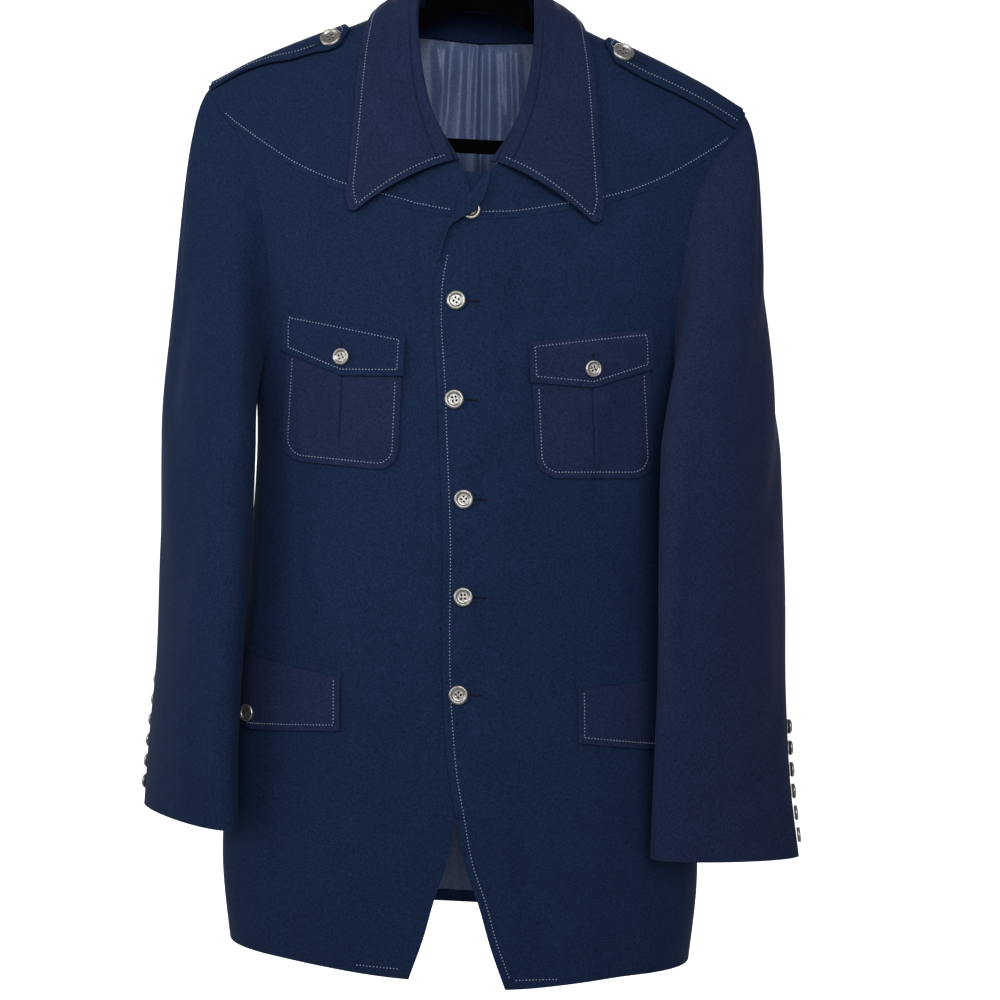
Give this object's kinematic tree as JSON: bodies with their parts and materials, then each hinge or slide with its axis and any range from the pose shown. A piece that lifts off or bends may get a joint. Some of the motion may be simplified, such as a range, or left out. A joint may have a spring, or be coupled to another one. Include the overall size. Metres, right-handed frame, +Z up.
{
  "type": "military-style jacket on a clothes hanger",
  "caption": "Button-front military-style jacket with long collar points, epaulettes, curved yokes and flap pockets, hanging with straight sleeves on a slim hanger with a wire hook.",
  "frame": {"origin": "inner top of the hanger's hook, where a rail carries it", "axes": "+Z up, +X towards the wearer's left, -Y towards the jacket's front"},
  "size_m": [0.593, 0.1896, 0.9543],
  "materials": {
    "navy_twill": "fine twill with a faint sheen",
    "lining": "satin twill",
    "pewter": "satin",
    "black_flock": "flocked",
    "steel_wire": "polished"
  },
  "bodies": {
    "root": {"back_left": "navy_twill", "back_right": "navy_twill", "button_chest_left": "pewter", "button_chest_right": "pewter", "button_cuff_left_1": "pewter", "button_cuff_left_2": "pewter", "button_cuff_left_3": "pewter", "button_cuff_left_4": "pewter", "button_cuff_left_5": "pewter", "button_cuff_left_6": "pewter", "button_cuff_right_1": "pewter", "button_cuff_right_2": "pewter", "button_cuff_right_3": "pewter", "button_cuff_right_4": "pewter", "button_cuff_right_5": "pewter", "button_cuff_right_6": "pewter", "button_front_1": "pewter", "button_front_2": "pewter", "button_front_3": "pewter", "button_front_4": "pewter", "button_front_5": "pewter", "button_front_6": "pewter", "button_hip_left": "pewter", "button_hip_right": "pewter", "button_shoulder_left": "pewter", "button_shoulder_right": "pewter", "chest_flap_left": "navy_twill", "chest_flap_right": "navy_twill", "chest_pocket_left": "navy_twill", "chest_pocket_right": "navy_twill", "collar_fall": "navy_twill", "collar_stand": "navy_twill", "epaulette_left": "navy_twill", "epaulette_right": "navy_twill", "facing_left": "navy_twill", "front_left": "navy_twill", "front_right": "navy_twill", "hanger_bar": "black_flock", "hanger_body": "black_flock", "hanger_hook": "steel_wire", "lining_back": "lining", "lower_flap_left": "navy_twill", "lower_flap_right": "navy_twill", "lower_welt_left": "navy_twill", "lower_welt_right": "navy_twill", "neck_facing": "navy_twill", "top_sleeve_left": "navy_twill", "top_sleeve_right": "navy_twill", "under_sleeve_left": "navy_twill", "under_sleeve_right": "navy_twill", "yoke_front_left": "navy_twill", "yoke_front_right": "navy_twill"}
  },
  "joints": []
}
